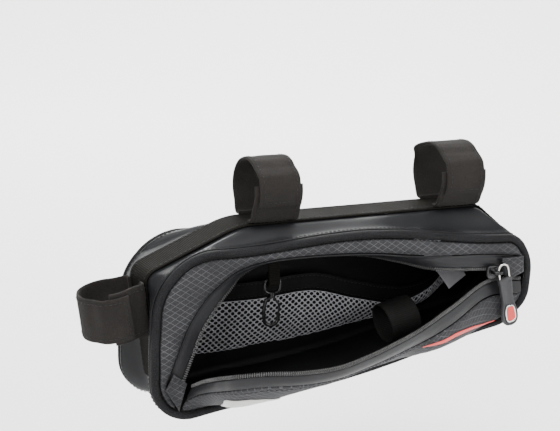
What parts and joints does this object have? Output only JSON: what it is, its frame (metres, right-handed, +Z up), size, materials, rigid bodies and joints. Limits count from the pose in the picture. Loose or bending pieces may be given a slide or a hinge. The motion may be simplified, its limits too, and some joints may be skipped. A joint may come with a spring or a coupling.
{
  "type": "bicycle frame bag",
  "caption": "Slim zipped bag that hangs under a bicycle's top tube on soft loops, open at its side to show the net pocket, elastic loop and hook inside.",
  "frame": {"origin": "on the shared axis of the front and middle strap loops, midway between the two loops", "axes": "+Z up, +X along the loops' axis towards the bag's front end, -Y towards the open zip"},
  "size_m": [0.3095, 0.1178, 0.1575],
  "materials": {
    "coated_cloth": "smooth satin-coated cloth",
    "ripstop": "ripstop cloth with a woven diamond grid",
    "webbing": "ribbed woven webbing",
    "loop_cloth": "soft loop cloth",
    "zip_tape": "satin water-resistant zip tape",
    "zip_teeth": "moulded coil",
    "lining": "plain black lining cloth",
    "net": "knitted grey net",
    "black_metal": "black enamel",
    "nickel": "polished nickel",
    "rubber": "matt moulded rubber",
    "black_plastic": "glossy plastic",
    "red_print": "printed red",
    "reflective_film": "reflective film",
    "label_cloth": "plain satin label"
  },
  "bodies": {
    "root": {"back_panel": "coated_cloth", "care_label": "label_cloth", "elastic_loop": "webbing", "flap": "ripstop", "flap_trim_line": "red_print", "front_panel": "ripstop", "front_welt": "ripstop", "gusset": "coated_cloth", "hook_strap": "webbing", "lining": "lining", "mesh_pocket": "net", "pocket_hem": "lining", "pull_badge_inlay": "red_print", "pull_badge_rim": "nickel", "pull_bail": "nickel", "pull_tab": "rubber", "rear_welt": "ripstop", "reflective_patch": "reflective_film", "slider": "black_metal", "snap_hook": "black_plastic", "spine_webbing": "webbing", "strap_front_over": "loop_cloth", "strap_front_tab": "loop_cloth", "strap_middle_over": "loop_cloth", "strap_middle_tab": "loop_cloth", "strap_rear_over": "loop_cloth", "strap_rear_tab": "loop_cloth", "zip_end_patch": "ripstop", "zip_start_patch": "ripstop", "zip_tape_lower": "zip_tape", "zip_tape_upper": "zip_tape", "zip_teeth_lower": "zip_teeth", "zip_teeth_upper": "zip_teeth"}
  },
  "joints": []
}
